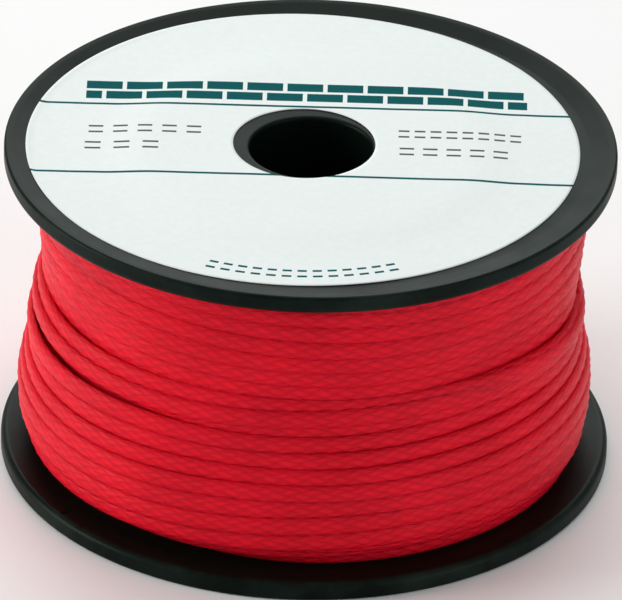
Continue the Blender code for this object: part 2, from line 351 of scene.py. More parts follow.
# --- Braided line ----------------------------------------------------------------------
# One 50 m piece of red polyethylene line, 1.7 mm thick, braided from sixteen flat strands.
# Its inner end is knotted inside the core and leaves through a hole in the barrel; the rest is
# wound on under light tension, so it lies a little flattened, and ends at the back.
LINE_DIAMETER = 1.7 * MM
LINE_HALF_WIDTH = 1.40 * MM
LINE_HALF_HEIGHT = 0.60 * MM
TURNS = 282
TURN_SAMPLES = 96
HEIGHT_STEP = 0.1 * MM
FIRST_HEIGHT = INNER_FACE + LINE_HALF_WIDTH
LAST_HEIGHT = SPOOL_HEIGHT - FIRST_HEIGHT
START_ANGLE = math.radians(90.0)
KNOT_RADIUS = 12.7 * MM
PITCH = 2.35 * MM
WANDER = 0.55 * MM
WANDER_WAVES = 8
GUIDE_REACH = 8  # height steps to each side of the guide, over which it feels the fill
GUIDE_GAIN = 3.0
GUIDE_PITCHES = (0.6, 1.7)
SETTLE_REACH = 5
SLIP_COST = 600.0  # height that a sideways slip is worth, for each squared metre of slip
SLIP_AVERAGE = 7
LYING_AVERAGE = 5
BRIDGE_SAG = 0.12 * MM
NEST_WIDTH = 2.25 * MM
NEST_HEIGHT = 1.22 * MM
WINDING_OUTLINE = (  # height, and radius of the full winding there at the left and at the right
    (2.5 * MM, 32.8 * MM, 36.6 * MM), (4.0 * MM, 36.4 * MM, 37.2 * MM), (5.5 * MM, 39.1 * MM, 37.9 * MM),
    (7.5 * MM, 40.3 * MM, 38.6 * MM), (10.7 * MM, 41.0 * MM, 39.6 * MM), (14.6 * MM, 40.3 * MM, 39.8 * MM),
    (18.3 * MM, 39.0 * MM, 38.6 * MM), (21.5 * MM, 39.8 * MM, 36.9 * MM), (25.5 * MM, 37.8 * MM, 37.0 * MM),
    (29.5 * MM, 36.0 * MM, 37.0 * MM), (34.0 * MM, 36.8 * MM, 38.1 * MM), (38.0 * MM, 37.1 * MM, 38.4 * MM),
    (45.5 * MM, 36.9 * MM, 38.0 * MM),
)
SHOULDER = 4.0 * MM
PRESS = 0.65
PRESS_DEPTH = 2.2 * MM
PRESS_AVERAGE = 9
TAIL_ROUTE = (  # outer end on the back of the winding: angle in degrees, height
    (62.0, 27.5 * MM), (68.0, 27.0 * MM), (76.0, 25.8 * MM), (84.0, 24.0 * MM), (92.0, 22.2 * MM),
    (99.0, 20.5 * MM), (105.0, 18.8 * MM), (110.0, 17.2 * MM), (114.0, 15.6 * MM),
)
TAIL_LIFT = 0.45 * MM
TAIL_GAP = 6.0
TAIL_BED = 5
START_POINTS = 6
START_BEND = 3


def smoothed(values, before, reach):
    """Running mean over reach samples, done twice, that starts from the last ones of before."""
    kernel = np.ones(reach) / reach
    earlier = np.concatenate([np.full(2 * reach, before[0]), before])[-2 * reach:]
    padded = np.concatenate([earlier, values, np.full(2 * reach, values[-1])])
    padded = np.convolve(np.convolve(padded, kernel, "same"), kernel, "same")
    return padded[2 * reach:2 * reach + len(values)]


def full_radius(angles, heights):
    """Radius of the full winding: its left and right outlines, blended by the angle's cosine."""
    outline = np.array(WINDING_OUTLINE)
    left = np.interp(heights, outline[:, 0], outline[:, 1])
    right = np.interp(heights, outline[:, 0], outline[:, 2])
    return left + (right - left) * (0.5 + 0.5 * np.cos(angles))


def wind_turns():
    """Angle, radius and height of the line's middle, TURN_SAMPLES to a turn, as it is wound on.

    The guide travels up and down by PITCH a turn, faster where the winding is already too thick
    for its outline, turns back early at a full lower end, and wanders by a few slow sines.  At
    each sample the line slips sideways into the nearest hollow of what lies below, within
    SETTLE_REACH height steps.  It rests on the turns below, so their upper outline, kept for
    each angle and height, gives its radius, and it then raises that outline by half an ellipse.
    It bridges small hollows, but for BRIDGE_SAG at most.
    """
    random = np.random.default_rng(17)
    phases = random.uniform(0.0, 2.0 * math.pi, WANDER_WAVES)
    rates = random.choice((1.0, 2.0, 3.0), WANDER_WAVES) + random.uniform(-0.08, 0.08, WANDER_WAVES)
    heights = np.arange(FIRST_HEIGHT, LAST_HEIGHT + HEIGHT_STEP / 2, HEIGHT_STEP)
    bare = BARREL_RADIUS + LINE_DIAMETER / 2
    full = full_radius(math.pi / 2, heights) - LINE_DIAMETER / 2 - bare
    rest = np.full((TURN_SAMPLES, len(heights)), bare)
    sample = np.arange(TURN_SAMPLES)
    slips = np.arange(-SETTLE_REACH, SETTLE_REACH + 1)
    reach = int(NEST_WIDTH / HEIGHT_STEP)
    across = np.arange(-reach, reach + 1)
    nest = NEST_HEIGHT * np.sqrt(np.clip(1.0 - (across * HEIGHT_STEP / NEST_WIDTH) ** 2, 0.0, None))
    height, direction = FIRST_HEIGHT, 1.0
    all_heights, all_radii = [np.full(TURN_SAMPLES, ANCHOR_HEIGHT)], [np.full(TURN_SAMPLES, bare)]
    for turn in range(TURNS):
        middle = int(round((height - FIRST_HEIGHT) / HEIGHT_STEP))
        near = slice(max(0, middle - GUIDE_REACH), middle + GUIDE_REACH + 1)
        share = (rest.mean() - bare) / full.mean()
        local = (rest[:, near].mean() - bare) / full[near].mean()
        pitch = PITCH * np.clip(1.0 + GUIDE_GAIN * (local - share) / max(share, 0.05), *GUIDE_PITCHES)
        time = turn + sample / TURN_SAMPLES
        wander = np.sin(2.0 * math.pi * np.outer(time, rates) + phases).sum(axis=1) * WANDER / 2.0
        plan = height + direction * pitch * sample / TURN_SAMPLES + wander
        if turn == TURNS - 1:
            ease = 0.5 - 0.5 * np.cos(math.pi * sample / TURN_SAMPLES)
            plan = plan * (1.0 - ease) + TAIL_ROUTE[0][1] * ease
        plan = np.clip(plan, FIRST_HEIGHT, LAST_HEIGHT)
        cell = np.rint((plan - FIRST_HEIGHT) / HEIGHT_STEP).astype(int)
        tried = np.clip(cell[:, None] + slips, 0, len(heights) - 1)
        cost = rest[sample[:, None], tried] + SLIP_COST * (slips * HEIGHT_STEP) ** 2
        settled = heights[tried[sample, np.argmin(cost, axis=1)]]
        settled = smoothed(settled, all_heights[-1], SLIP_AVERAGE)
        cell = np.clip(np.rint((settled - FIRST_HEIGHT) / HEIGHT_STEP).astype(int), 0, len(heights) - 1)
        lying = rest[sample, cell]
        lying = np.maximum(smoothed(lying, all_radii[-1], LYING_AVERAGE), lying - BRIDGE_SAG)
        for offset, rise in zip(across, nest):
            inside = (cell + offset >= 0) & (cell + offset < len(heights))
            rows, cells = sample[inside], cell[inside] + offset
            rest[rows, cells] = np.maximum(rest[rows, cells], lying[inside] + rise)
        all_heights.append(settled)
        all_radii.append(lying)
        height = height + direction * pitch
        low_and_full = direction < 0 and height < FIRST_HEIGHT + SHOULDER and local > 1.0
        if low_and_full or not FIRST_HEIGHT < height < LAST_HEIGHT:
            height = min(max(height, FIRST_HEIGHT), LAST_HEIGHT)
            direction = -direction
    angles = START_ANGLE + np.arange(TURNS * TURN_SAMPLES) * (2.0 * math.pi / TURN_SAMPLES)
    wound = [np.concatenate(turns[1:]) for turns in (all_radii, all_heights)]
    eased = [smoothed(values, values[:1], LYING_AVERAGE) for values in wound]
    return np.stack([angles] + eased, axis=1)


def cylinder_points(angles, radii, heights):
    """Points from cylinder coordinates: radius times cosine, radius times sine, and height."""
    return np.stack([radii * np.cos(angles), radii * np.sin(angles), heights], axis=-1)


def outer_surface(route):
    """Outer surface of the winding on a grid of angle and height, and each sample's depths in it.

    The surface at each angle and height is the highest of all half ellipses of the line's
    section.  The depths are the distances of a sample's own half ellipse below it.
    """
    angles, radii, heights = route.T
    rows = np.rint((angles - START_ANGLE) * TURN_SAMPLES / (2 * math.pi)).astype(int) % TURN_SAMPLES
    cells = np.rint(heights / HEIGHT_STEP).astype(int)
    reach = int(LINE_HALF_WIDTH / HEIGHT_STEP)
    offsets = np.arange(-reach, reach + 1)
    rises = LINE_HALF_HEIGHT * np.sqrt(1.0 - (offsets * HEIGHT_STEP / LINE_HALF_WIDTH) ** 2)
    surface = np.zeros((TURN_SAMPLES, int(SPOOL_HEIGHT / HEIGHT_STEP)))
    for offset, rise in zip(offsets, rises):
        np.maximum.at(surface, (rows, cells + offset), radii + rise)
    depths = surface[rows[:, None], cells[:, None] + offsets] - radii[:, None] - rises
    return surface, depths


def press_down(turns):
    """Turns whose outer layers are pressed to the winding's outline, as soft line under tension is.

    A sample moves towards the outline by a share that falls with its depth in the
    winding, from PRESS at the surface to none at PRESS_DEPTH, averaged along the line.
    """
    _, depths = outer_surface(turns)
    share = PRESS * np.clip(1.0 - np.quantile(depths, 0.25, axis=1) / PRESS_DEPTH, 0.0, 1.0)
    angles, radii, heights = turns.T
    shift = share * (full_radius(angles, heights) - LINE_HALF_HEIGHT - radii)
    shift = smoothed(shift, shift[:1], PRESS_AVERAGE)
    return np.stack([angles, radii + shift, heights], axis=1)


def whole_route():
    """Angle, radius and height of the whole line: knot, barrel hole, turns and outer end.

    From the knot the line runs straight out through the hole and bends into its first turn.
    The outer end leaves the last turn and lies on the winding's surface, most of its own
    height above it, on a slanting route of its own.
    """
    turns = press_down(wind_turns())
    tail = np.array(TAIL_ROUTE)
    tail_start = math.radians(tail[0, 0]) + 2.0 * math.pi * TURNS
    kept = turns[:, 0] < tail_start - math.radians(TAIL_GAP)
    kept[:START_BEND] = False
    turns = turns[kept]
    surface, _ = outer_surface(turns)
    steps = np.linspace(0.0, len(tail) - 1.0, 3 * len(tail) - 2)
    tail_angles, tail_heights = (np.interp(steps, np.arange(len(tail)), column) for column in tail.T)
    since_start = tail_angles - math.degrees(START_ANGLE)
    rows = np.rint(since_start * TURN_SAMPLES / 360.0).astype(int) % TURN_SAMPLES
    cells = np.rint(tail_heights / HEIGHT_STEP).astype(int)
    beside = np.arange(-TAIL_BED, TAIL_BED + 1)
    below = surface[rows[:, None], cells[:, None] + beside].max(axis=1)
    tail_radii = smoothed(below, below[:1], 3) + TAIL_LIFT
    starts = np.stack([np.full(START_POINTS, START_ANGLE),
                       np.linspace(KNOT_RADIUS, BARREL_RADIUS - 0.6 * MM, START_POINTS),
                       np.full(START_POINTS, ANCHOR_HEIGHT)], axis=1)
    tail_turns = np.radians(tail_angles) + 2.0 * math.pi * TURNS
    return np.concatenate([starts, turns, np.stack([tail_turns, tail_radii, tail_heights], axis=1)])


STRANDS = 8
STRAND_PITCH = 3.2 * MM
STRAND_RELIEF = 0.18 * MM
FAMILY_HEIGHT = 0.55
RING_SPACING = 0.42 * MM
RING_AVERAGE = 7
SECTION_SIDES = 20
OUTWARD_CROWDING = 0.45
SECTION_SQUARENESS = 0.85
TRIANGLES_PER_PIECE = 180000
SEEN_DEPTH = 0.35 * MM
SIDE_DEPTH = 2.6 * MM
SEEN_MARGIN = 11
SHORTEST_STRETCH = 3
CORE_SPACING = 8.0 * MM
CORE_HALF_WIDTH = 0.9 * MM
CORE_HALF_HEIGHT = 0.5 * MM
CORE_SIDES = 6


def braid_height(along, around):
    """Height of the braid from 0 to 1 at a length along the line and a share of its girth.

    Two families of strands wind round the line in opposite senses.  Each strand has a half
    round back, and the product of two cosines says which family lies on top.
    """
    one = STRANDS * around + along / STRAND_PITCH
    other = STRANDS * around - along / STRAND_PITCH
    back_one = np.sqrt(np.clip(1.0 - (2.0 * (one % 1.0) - 1.0) ** 2, 0.0, None))
    back_other = np.sqrt(np.clip(1.0 - (2.0 * (other % 1.0) - 1.0) ** 2, 0.0, None))
    over = np.sin(math.pi * one) * np.sin(math.pi * other)
    weave = np.cos(math.pi * (np.floor(one) + np.floor(other)))
    lift = 0.5 * weave * np.abs(over)
    return np.maximum(back_one * (FAMILY_HEIGHT + lift), back_other * (FAMILY_HEIGHT - lift))


def section_shares(sides):
    """Shares of the girth where a section has its points, crowded on the side that faces out."""
    even = np.arange(sides) / sides
    return even - OUTWARD_CROWDING * np.sin(2.0 * math.pi * even) / (2.0 * math.pi)


def line_path(stretch, spacing, average):
    """Middles, outward directions and lengths along a stretch of the line, at equal spacing.

    The stretch's cylinder coordinates are interpolated along its length, and the wiggles of
    radius and height are averaged over some steps.
    """
    corners = cylinder_points(*stretch.T)
    steps = np.linalg.norm(np.diff(corners, axis=0), axis=1)
    reached = np.concatenate([[0.0], np.cumsum(steps)])
    along = np.linspace(0.0, reached[-1], max(4, int(reached[-1] / spacing)))
    middle = [np.interp(along, reached, column) for column in stretch.T]
    kernel = np.ones(average) / average
    middle[1:] = [np.convolve(np.pad(row, average // 2, mode="edge"), kernel, "valid") for row in middle[1:]]
    return cylinder_points(*middle), cylinder_points(middle[0], 1.0, 0.0 * middle[0]), along


def line_rings(centres, outward, along, half_width, half_height, sides, relief):
    """Rings of points round the middles of a line, wide across outward and low along it.

    A section is a flattened round with sides a little fuller than an ellipse's, raised and
    lowered by the braid.  Where the line runs along outward, its width lies level instead.
    """
    tangent = np.gradient(centres, axis=0)
    tangent /= np.linalg.norm(tangent, axis=1, keepdims=True)
    sideways = np.cross(tangent, outward)
    size = np.linalg.norm(sideways, axis=1, keepdims=True)
    sideways = np.where(size > 0.3, sideways, np.cross((0.0, 0.0, 1.0), tangent))
    sideways /= np.linalg.norm(sideways, axis=1, keepdims=True)
    outward = np.cross(sideways, tangent)
    share = section_shares(sides)
    raised = relief * (braid_height(along[:, None], share) - 0.5)
    sine, cosine = np.sin(2.0 * math.pi * share), np.cos(2.0 * math.pi * share)
    side = np.sign(sine) * np.abs(sine) ** SECTION_SQUARENESS
    out = np.sign(cosine) * np.abs(cosine) ** SECTION_SQUARENESS
    across = sideways[:, None] * (side * (half_width + raised))[..., None]
    return centres[:, None] + across + outward[:, None] * (out * (half_height + raised))[..., None]


def tube_faces(rings, sides):
    """Faces of an open tube, four vertex numbers each, and their row and column numbers."""
    row, column = (index.ravel() for index in np.indices((rings - 1, sides)))
    after = (column + 1) % sides
    faces = np.stack([row * sides + column, (row + 1) * sides + column,
                      (row + 1) * sides + after, row * sides + after], axis=-1)
    return faces, row, column


def end_faces(rings, sides):
    """Faces that close the two ends of a tube: each folds its end ring together in pairs.

    A ring of an even number of points is filled by four-sided faces between its two halves.
    """
    left = np.arange(sides // 2 - 1)
    first = np.stack([left, left + 1, sides - 2 - left, sides - 1 - left], axis=-1)
    last = first[:, ::-1] + (rings - 1) * sides
    return np.concatenate([first, last])


route = whole_route()
_, depths = outer_surface(route[START_POINTS:])
seen = np.concatenate([np.zeros(START_POINTS, bool), (depths < SEEN_DEPTH).any(axis=1)])
# turns beside a flange are also seen from the side, a few layers deep
beside_flange = np.minimum(route[:, 2] - FIRST_HEIGHT, LAST_HEIGHT - route[:, 2]) < LINE_HALF_WIDTH
seen |= beside_flange & (route[:, 1] > full_radius(route[:, 0], route[:, 2]) - SIDE_DEPTH)
seen = np.convolve(seen, np.ones(SEEN_MARGIN), "same") > 0
points = cylinder_points(*route.T)
lengths = np.concatenate([[0.0], np.cumsum(np.linalg.norm(np.diff(points, axis=0), axis=1))])


def red_braided_polyethylene():
    """Red polyethylene filament yarn, braided: waxy, saturated and slightly glossy.

    The eye gets fine parallel filaments in each strand, painted shade that deepens the red in the
    furrows between strands and painted light that makes their raised backs paler red, small
    changes of shade along the line, and a soft glow in the gaps between turns, because the plastic
    lets some light through.
    """
    made, tree, shader = new_material("red_braided_polyethylene")
    span = add_node(tree, "ShaderNodeUVMap", uv_map="along_and_round")
    part = add_node(tree, "ShaderNodeSeparateXYZ", {0: span})
    along, around = part.outputs[0], part.outputs[1]
    families = []
    for sense in (1.0, -1.0):
        turned = add_node(tree, "ShaderNodeMath", {0: around, 1: float(STRANDS)}, operation="MULTIPLY")
        strand = add_node(tree, "ShaderNodeMath", {0: along, 1: sense * MM / STRAND_PITCH,
                                                   2: turned}, operation="MULTIPLY_ADD")
        wave = add_node(tree, "ShaderNodeMath", {0: strand, 1: math.pi}, operation="MULTIPLY")
        wave = add_node(tree, "ShaderNodeMath", {0: wave}, operation="SINE")
        families.append((strand, wave))
    # which family lies on top: the sign of the product of the two waves
    top = add_node(tree, "ShaderNodeMath", {0: families[0][1], 1: families[1][1]}, operation="MULTIPLY")
    # a strand's back is the size of its wave, lifted where it lies on top
    backs = []
    for (strand, wave), sense in zip(families, (0.5, -0.5)):
        lift = add_node(tree, "ShaderNodeMath", {0: top, 1: sense, 2: FAMILY_HEIGHT},
                        operation="MULTIPLY_ADD")
        size = add_node(tree, "ShaderNodeMath", {0: wave}, operation="ABSOLUTE")
        size = add_node(tree, "ShaderNodeMath", {0: size, 1: 0.5}, operation="POWER")
        backs.append(add_node(tree, "ShaderNodeMath", {0: size, 1: lift}, operation="MULTIPLY"))
    height = add_node(tree, "ShaderNodeMath", {0: backs[0].outputs[0], 1: backs[1].outputs[0]},
                      operation="MAXIMUM")
    on_top = add_node(tree, "ShaderNodeMath", {0: backs[0].outputs[0], 1: backs[1].outputs[0]},
                      operation="GREATER_THAN")
    # filaments, about 0.11 mm apart, run along the strand that lies on top
    lines = []
    for (strand, wave), sense in zip(families, (1.0, -1.0)):
        thread = add_node(tree, "ShaderNodeCombineXYZ", {0: strand, 1: along})
        size = add_node(tree, "ShaderNodeMapping", {"Vector": thread,
                                                    "Scale": (8.0, 0.35, 1.0),
                                                    "Location": (0.0, 7.0 * sense, 0.0)})
        lines.append(add_node(tree, "ShaderNodeTexNoise", {"Vector": size, "Scale": 1.0,
                                                           "Detail": 2.0, "Roughness": 0.6}))
    filaments = add_node(tree, "ShaderNodeMix", {0: on_top, 2: lines[1].outputs["Fac"],
                                                 3: lines[0].outputs["Fac"]}, data_type="FLOAT")
    relief = add_node(tree, "ShaderNodeMath", {0: filaments, 1: 0.55,
                                               2: height.outputs[0]}, operation="MULTIPLY_ADD")
    bump = add_node(tree, "ShaderNodeBump", {"Strength": 1.0, "Distance": 0.16 * MM, "Height": relief})
    place = add_node(tree, "ShaderNodeTexCoord").outputs["Object"]
    shade = add_node(tree, "ShaderNodeTexNoise", {"Vector": place, "Scale": 1.0 / (9 * MM), "Detail": 3.0})
    # painted shade and light: the red is mixed by the braid's relief, darker in the furrows between strands
    # where shade falls and paler on the raised strand backs where light falls
    level = add_node(tree, "ShaderNodeMapRange", {"Value": relief, "From Min": 0.25, "From Max": 1.2})
    yarn = add_node(tree, "ShaderNodeMix", {0: level, 6: linear("#c60c22"), 7: linear("#ea142c")},
                    data_type="RGBA")
    tone = add_node(tree, "ShaderNodeMapRange", {"Value": shade.outputs["Fac"], "From Min": 0.3,
                                                 "From Max": 0.7, "To Min": 0.9, "To Max": 1.08})
    colour = add_node(tree, "ShaderNodeHueSaturation", {"Color": yarn.outputs[2], "Value": tone})
    tree.links.new(colour.outputs[0], shader.inputs["Base Color"])
    tree.links.new(bump.outputs[0], shader.inputs["Normal"])
    shader.inputs["Roughness"].default_value = 0.40
    shader.inputs["IOR"].default_value = 1.51
    shader.inputs["Specular IOR Level"].default_value = 0.10
    shader.inputs["Subsurface Weight"].default_value = 0.35
    shader.inputs["Subsurface Radius"].default_value = (1.0, 0.12, 0.10)
    shader.inputs["Subsurface Scale"].default_value = 1.0 * MM
    return made


line_yarn = red_braided_polyethylene()
starts = np.flatnonzero(np.diff(seen.astype(int), prepend=0) == 1)
ends = np.flatnonzero(np.diff(seen.astype(int), append=0) == -1) + 1
batches = [[]]
for start, end in zip(starts, ends):
    if end - start < SHORTEST_STRETCH:
        continue
    centres, outward, along = line_path(route[start:end], RING_SPACING, RING_AVERAGE)
    along += lengths[start]
    rings = line_rings(centres, outward, along, LINE_HALF_WIDTH, LINE_HALF_HEIGHT, SECTION_SIDES,
                       STRAND_RELIEF)
    if sum(len(r) for r, _ in batches[-1]) + len(rings) > TRIANGLES_PER_PIECE / (2 * SECTION_SIDES):
        batches.append([])
    batches[-1].append((rings, along))


def line_object(name, stretches):
    """Object of one or more closed tubes of rings, with lengths in mm and girth shares as UV."""
    sides = stretches[0][0].shape[1]
    shares = np.append(section_shares(sides), 1.0)
    vertices, faces, spans, offset = [], [], [], 0
    for rings, along in stretches:
        wall, row, column = tube_faces(len(rings), sides)
        caps = end_faces(len(rings), sides)
        vertices.append(rings.reshape(-1, 3))
        faces.append(np.concatenate([wall, caps]) + offset)
        corner_along = along[np.stack([row, row + 1, row + 1, row], axis=-1)] / MM
        corner_around = shares[np.stack([column, column, column + 1, column + 1], axis=-1)]
        span = np.stack([corner_along, corner_around], axis=-1)
        spans.append(np.concatenate([span, np.zeros((len(caps), 4, 2))]))
        offset += len(rings) * sides
    made = mesh_object(name, np.concatenate(vertices), np.concatenate(faces), line_yarn,
                       np.concatenate(spans))
    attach(made, "root")
    return made


braids = [line_object(f"wound_line_{number}", batch) for number, batch in enumerate(batches, start=1)]

# stopper knot: an overhand knot, whose middle runs round as a trefoil in the plane across Y
KNOT_SIZE = 0.45 * MM
KNOT_DEPTH = 0.80 * MM
KNOT_HALF_WIDTH = 0.78 * MM
KNOT_STEPS = 160
turn = np.linspace(0.25, 2.0 * math.pi - 0.15, KNOT_STEPS)
knot_path = np.stack([KNOT_SIZE * (np.sin(turn) + 2.0 * np.sin(2.0 * turn)),
                      KNOT_RADIUS - KNOT_DEPTH * np.sin(3.0 * turn),
                      ANCHOR_HEIGHT + KNOT_SIZE * (np.cos(turn) - 2.0 * np.cos(2.0 * turn))], axis=1)
knot_along = np.concatenate([[0.0], np.cumsum(np.linalg.norm(np.diff(knot_path, axis=0), axis=1))])
knot_rings = line_rings(knot_path, np.array((0.0, 1.0, 0.0)), knot_along, KNOT_HALF_WIDTH, KNOT_HALF_WIDTH,
                        SECTION_SIDES, STRAND_RELIEF)
braids.append(line_object("stopper_knot", [(knot_rings, knot_along)]))

core_path, outward, core_along = line_path(route, CORE_SPACING, 1)
core_rings = line_rings(core_path, outward, core_along, CORE_HALF_WIDTH, CORE_HALF_HEIGHT, CORE_SIDES, 0.0)
line = line_object("mason_line", [(core_rings, core_along)])
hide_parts("line_winding", "line_tail", "line_start", "start_knot")

# --- Paper label -----------------------------------------------------------------------
# A ring of white coated paper, glued over the low boss and the dish of the upper flange, a
# little off centre.  It was pressed on by hand, so it drops beside the boss and waves slightly.
# Its title and small print are replaced by courses of bricks and rows of dashes.
LABEL_CENTRE = np.array((-1.12 * MM, 0.43 * MM))
HOLE_CENTRE = np.array((-0.94 * MM, 0.84 * MM))
LABEL_TURN = math.radians(-0.5)
LABEL_HOLE = 9.87 * MM
LABEL_RADIUS = 38.4 * MM
LABEL_THICKNESS = 0.10 * MM
LABEL_LIE = (  # height of the label's top at each distance from the spool's axis
    (8.0 * MM, 47.84 * MM), (15.5 * MM, 47.84 * MM), (22.5 * MM, 47.86 * MM), (30.5 * MM, 47.47 * MM),
    (34.0 * MM, 47.43 * MM), (38.6 * MM, 47.43 * MM), (39.7 * MM, 47.61 * MM), (40.5 * MM, 47.78 * MM),
)
LABEL_WAVES = 6
LABEL_WAVE_HEIGHT = 0.008 * MM
LABEL_RINGS = 72
LABEL_STEPS = 240
# print, in mm and degrees from the label's middle
TITLE_BAND = (-30.5, 31.0, 12.0, 17.6)
BRICKS_START = (-36.4, 12.0)
BRICK_SIZE = (5.6, 2.8)
BRICK_JOINT = 0.6
RULES = ((10.53, 11.07), (-8.97, -8.43))
SMALL_BARS = (0.56, 1.04)
SMALL_PRINT = (  # ends of the row, its middle height, count of dashes and their length
    (-29.8, -14.2, 3.5, 5, 2.0), (-30.2, -20.0, -1.1, 3, 2.2),
    (13.2, 30.2, 3.8, 8, 1.5), (13.4, 28.4, -1.1, 5, 2.0),
)
ARC_RADIUS = 35.2
ARC_BARS = (0.50, 1.00)
ARC_BEARINGS = (-20.41, 22.51)
ARC_DASH_STEP = 3.4
ARC_DASH_SHARE = 0.62


def label_top(x, y):
    """Height of the label's top: its lie, eased between heights by half cosines, plus slow waves."""
    lie = np.array(LABEL_LIE)
    distance = np.hypot(x, y)
    span = np.clip(np.searchsorted(lie[:, 0], distance) - 1, 0, len(lie) - 2)
    share = (distance - lie[span, 0]) / (lie[span + 1, 0] - lie[span, 0])
    eased = 0.5 - 0.5 * np.cos(math.pi * share)
    top = lie[span, 1] + (lie[span + 1, 1] - lie[span, 1]) * eased
    random = np.random.default_rng(5)
    for heading, length, phase in zip(random.uniform(0, math.pi, LABEL_WAVES),
                                      random.uniform(14 * MM, 40 * MM, LABEL_WAVES),
                                      random.uniform(0, 2.0 * math.pi, LABEL_WAVES)):
        run = (x * math.cos(heading) + y * math.sin(heading)) * (2.0 * math.pi / length)
        top = top + LABEL_WAVE_HEIGHT * np.sin(run + phase)
    return top


def printed_paper():
    """White coated paper, offset printed: flat and matt, with thin teal and grey ink.

    The eye gets faint cloudy fibres in the white, two thin rules across the label, a band of
    bricks laid in running bond, and rows of short dashes like small print.
    """
    made, tree, shader = new_material("printed_coated_paper")
    place = add_node(tree, "ShaderNodeTexCoord").outputs["Object"]
    on_label = add_node(tree, "ShaderNodeMapping", {"Vector": place, "Location": (*LABEL_CENTRE, 0.0),
                                                    "Rotation": (0.0, 0.0, LABEL_TURN),
                                                    "Scale": (MM, MM, MM)}, vector_type="TEXTURE")
    axes = add_node(tree, "ShaderNodeSeparateXYZ", {0: on_label})
    x, y = axes.outputs[0], axes.outputs[1]

    def covered(*limits):
        """One where every value lies between its two limits, else nought."""
        product = 1.0
        for value, low, high in limits:
            inside = add_node(tree, "ShaderNodeMath", {0: value, 1: (low + high) / 2,
                                                       2: (high - low) / 2}, operation="COMPARE")
            product = add_node(tree, "ShaderNodeMath", {0: inside, 1: product}, operation="MULTIPLY")
        return product

    def away_from(value, middle):
        """Size of the difference between value and middle."""
        difference = add_node(tree, "ShaderNodeMath", {0: value, 1: middle}, operation="SUBTRACT")
        return add_node(tree, "ShaderNodeMath", {0: difference}, operation="ABSOLUTE")

    def dashes(run, step, share, area):
        """Area cut into dashes: each covers a share of a step along run."""
        steps = add_node(tree, "ShaderNodeMath", {0: run, 1: step}, operation="DIVIDE")
        part = add_node(tree, "ShaderNodeMath", {0: steps}, operation="FRACT")
        on_dash = add_node(tree, "ShaderNodeMath", {0: part, 1: share}, operation="LESS_THAN")
        return add_node(tree, "ShaderNodeMath", {0: on_dash, 1: area}, operation="MULTIPLY")

    def together(areas):
        """Union of printed areas: the largest of their values."""
        union = 0.0
        for area in areas:
            union = add_node(tree, "ShaderNodeMath", {0: area, 1: union}, operation="MAXIMUM")
        return union

    # title: two courses of bricks
    brick_place = add_node(tree, "ShaderNodeMapping", {
        "Vector": on_label, "Location": (-BRICKS_START[0], -BRICKS_START[1], 0.0)})
    bricks = add_node(tree, "ShaderNodeTexBrick", {
        "Vector": brick_place, "Scale": 1.0, "Mortar Size": BRICK_JOINT / 2, "Mortar Smooth": 0.0,
        "Brick Width": BRICK_SIZE[0], "Row Height": BRICK_SIZE[1]},
        offset=0.5, offset_frequency=2, squash=1.0)
    brick = add_node(tree, "ShaderNodeMath", {0: 1.0, 1: bricks.outputs["Fac"]}, operation="SUBTRACT")
    band = covered((x, *TITLE_BAND[:2]), (y, *TITLE_BAND[2:]))
    title = add_node(tree, "ShaderNodeMath", {0: brick, 1: band}, operation="MULTIPLY")
    # small print: each dash is a pair of thin bars, one above the other
    small = []
    for x_from, x_to, y_middle, count, dash in SMALL_PRINT:
        run = add_node(tree, "ShaderNodeMath", {0: x, 1: x_from}, operation="SUBTRACT")
        step = (x_to - x_from - dash) / (count - 1)
        area = covered((away_from(y, y_middle), *SMALL_BARS), (x, x_from, x_to))
        small.append(dashes(run, step, dash / step, area))
    # curved row of such dashes along the front edge
    square = add_node(tree, "ShaderNodeMath", {0: x, 1: x}, operation="MULTIPLY")
    square = add_node(tree, "ShaderNodeMath", {0: y, 1: y, 2: square}, operation="MULTIPLY_ADD")
    radius = add_node(tree, "ShaderNodeMath", {0: square}, operation="SQRT")
    toward_front = add_node(tree, "ShaderNodeMath", {0: y, 1: -1.0}, operation="MULTIPLY")
    bearing = add_node(tree, "ShaderNodeMath", {0: x, 1: toward_front}, operation="ARCTAN2")
    area = covered((away_from(radius, ARC_RADIUS), *ARC_BARS), (bearing, *np.radians(ARC_BEARINGS)))
    arc_print = dashes(bearing, math.radians(ARC_DASH_STEP), ARC_DASH_SHARE, area)
    teal_ink = together([title, arc_print] + [covered((y, low, high)) for low, high in RULES])
    grey_ink = together(small)
    fibres = add_node(tree, "ShaderNodeTexNoise", {"Vector": on_label, "Scale": 0.9, "Detail": 5.0,
                                                   "Roughness": 0.7})
    white = add_node(tree, "ShaderNodeMix", {0: fibres.outputs["Fac"], 6: linear("#e2eae9"),
                                             7: linear("#eff3f1")}, data_type="RGBA")
    with_small = add_node(tree, "ShaderNodeMix", {0: grey_ink, 6: white.outputs[2], 7: linear("#565c5b")},
                          data_type="RGBA")
    colour = add_node(tree, "ShaderNodeMix", {0: teal_ink, 6: with_small.outputs[2], 7: linear("#005457")},
                      data_type="RGBA")
    bump = add_node(tree, "ShaderNodeBump", {"Strength": 0.15, "Distance": 0.05 * MM,
                                             "Height": fibres.outputs["Fac"]})
    tree.links.new(colour.outputs[2], shader.inputs["Base Color"])
    tree.links.new(bump.outputs[0], shader.inputs["Normal"])
    shader.inputs["Roughness"].default_value = 0.75
    shader.inputs["IOR"].default_value = 1.5
    shader.inputs["Specular IOR Level"].default_value = 0.05
    return made


label_radii = np.concatenate([np.linspace(LABEL_HOLE, LABEL_RADIUS, LABEL_RINGS),
                              np.linspace(LABEL_RADIUS, LABEL_HOLE, LABEL_RINGS)])
label_angles = np.arange(LABEL_STEPS) * (2.0 * math.pi / LABEL_STEPS)
